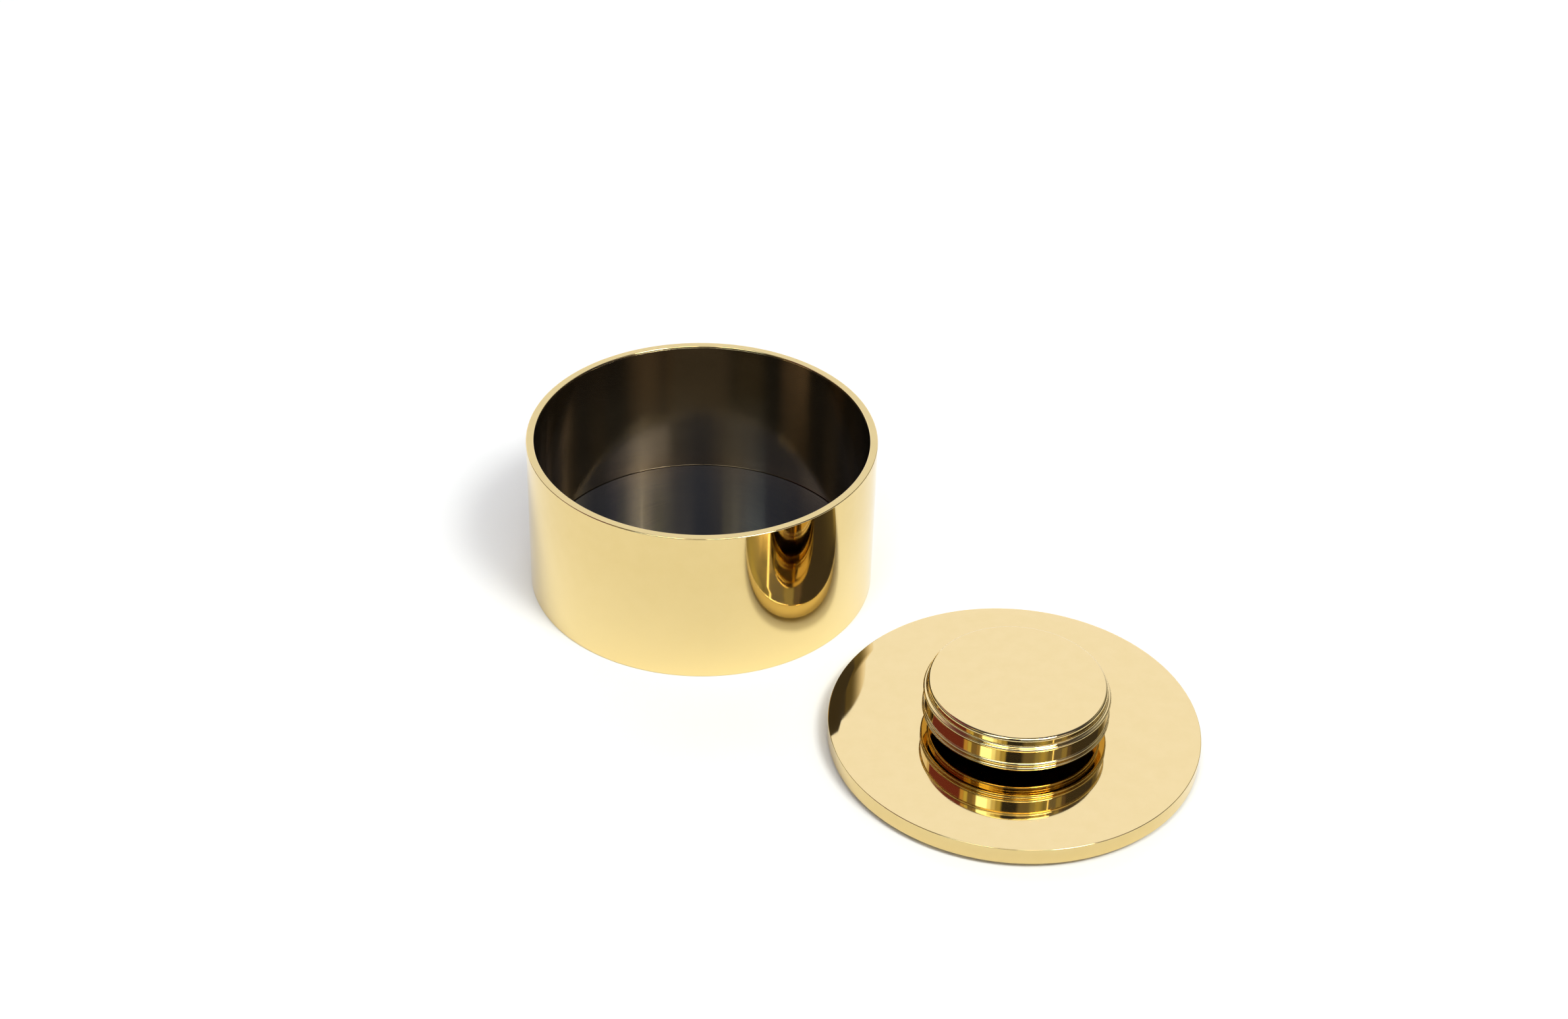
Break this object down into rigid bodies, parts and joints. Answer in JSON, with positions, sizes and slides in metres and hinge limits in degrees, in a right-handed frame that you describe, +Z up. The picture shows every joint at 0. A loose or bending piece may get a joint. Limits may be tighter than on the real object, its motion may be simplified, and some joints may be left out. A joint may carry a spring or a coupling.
{
  "type": "ciborium",
  "caption": "Low round gilt bowl with a brushed metal disc on its floor, and a loose flat disc lid with a beaded turned knob.",
  "frame": {"origin": "centre of the bowl's underside, on the table", "axes": "+Z up along the bowl's axis; the lid lies on the table towards +X and -Y"},
  "size_m": [0.1852, 0.1768, 0.0475],
  "materials": {
    "polished_gilt": "mirror-polished pale gold plating",
    "brushed_white_metal": "straight brushed, satin",
    "screw_steel": "bright machined steel"
  },
  "bodies": {
    "bowl": {"body_shell": "polished_gilt", "base_plate": "polished_gilt", "inner_disc": "brushed_white_metal"},
    "lid": {"lid_plate": "polished_gilt", "locating_ring": "polished_gilt", "knob_neck": "polished_gilt", "knob_head": "polished_gilt", "knob_screw": "screw_steel", "screw_washer": "screw_steel"}
  },
  "joints": [
    {"name": "lid_lift", "type": "slide", "parent": "bowl", "child": "lid", "axis": [0, 0, 1], "range_m": [0, 0.1]}
  ]
}
